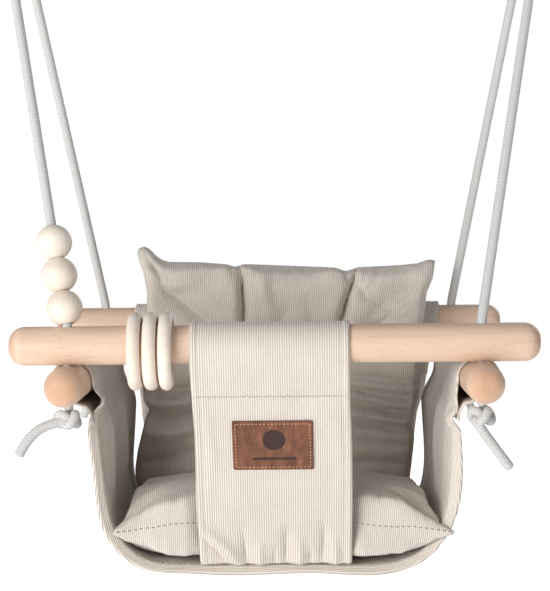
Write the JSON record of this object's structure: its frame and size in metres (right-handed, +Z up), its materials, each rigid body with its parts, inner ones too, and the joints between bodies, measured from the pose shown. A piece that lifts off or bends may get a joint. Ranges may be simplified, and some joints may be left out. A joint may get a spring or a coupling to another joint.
{
  "type": "toddler swing",
  "caption": "Indoor toddler bucket swing: crossed wooden dowels on rope legs carry a corduroy sling with crotch strap, seat and back cushions, play beads and grab rings.",
  "frame": {"origin": "middle of the line that the swing turns about, between the two hang rings, where their wires carry the rope loops", "axes": "+X to the sitter's left, which is the viewer's right; +Y from the front bar towards the rear bar; +Z up"},
  "size_m": [0.546, 0.336, 0.7709],
  "materials": {
    "beech": "satin",
    "pale_wood": "satin",
    "rope": "matte",
    "corduroy": "matte",
    "filling": "matte",
    "leather": "satin",
    "thread": "matte",
    "steel": "polished"
  },
  "bodies": {
    "hangers": {"hang_ring_left": "steel", "hang_ring_right": "steel"},
    "swing": {"front_bar": "beech", "rear_bar": "beech", "left_side_bar": "beech", "right_side_bar": "beech", "rope_front_left": "rope", "rope_front_right": "rope", "rope_rear_left": "rope", "rope_rear_right": "rope", "rope_tail_front_left": "rope", "rope_tail_front_right": "rope", "rope_tail_rear_left": "rope", "rope_tail_rear_right": "rope", "stopper_knot_front_left": "rope", "stopper_knot_front_right": "rope", "stopper_knot_rear_left": "rope", "stopper_knot_rear_right": "rope", "hang_knot_left": "rope", "hang_knot_right": "rope", "seat_sling": "corduroy", "crotch_strap": "corduroy", "back_panel": "corduroy", "leather_patch": "leather", "patch_stitches": "thread", "seat_cushion_cover": "corduroy", "seat_cushion_filling": "filling"},
    "back_cushion": {"back_cushion_cover": "corduroy", "back_cushion_filling": "filling"},
    "lower_bead": {"bead_lower": "pale_wood"},
    "middle_bead": {"bead_middle": "pale_wood"},
    "upper_bead": {"bead_upper": "pale_wood"},
    "left_ring": {"grab_ring_left": "pale_wood"},
    "middle_ring": {"grab_ring_middle": "pale_wood"},
    "right_ring": {"grab_ring_right": "pale_wood"}
  },
  "joints": [
    {"name": "swing_hinge", "type": "hinge", "parent": "hangers", "child": "swing", "pos_m": [0, 0, 0], "axis": [1, 0, 0], "range_deg": [-40, 40]},
    {"name": "back_cushion_lift", "type": "slide", "parent": "swing", "child": "back_cushion", "axis": [0, 0, 1], "range_m": [0, 0.2]},
    {"name": "lower_bead_slide", "type": "slide", "parent": "swing", "child": "lower_bead", "axis": [-0.1735, 0.2543, 0.9514], "range_m": [0, 0.14]},
    {"name": "middle_bead_slide", "type": "slide", "parent": "lower_bead", "child": "middle_bead", "axis": [-0.1735, 0.2543, 0.9514], "range_m": [0, 0.14]},
    {"name": "upper_bead_slide", "type": "slide", "parent": "middle_bead", "child": "upper_bead", "axis": [-0.1735, 0.2543, 0.9514], "range_m": [0, 0.14]},
    {"name": "left_ring_spin", "type": "hinge", "parent": "swing", "child": "left_ring", "pos_m": [-0.1073, -0.138, -0.54], "axis": [1, 0, 0], "continuous": true},
    {"name": "middle_ring_spin", "type": "hinge", "parent": "swing", "child": "middle_ring", "pos_m": [-0.0953, -0.138, -0.54], "axis": [1, 0, 0], "continuous": true},
    {"name": "right_ring_spin", "type": "hinge", "parent": "swing", "child": "right_ring", "pos_m": [-0.0833, -0.138, -0.54], "axis": [1, 0, 0], "continuous": true}
  ]
}
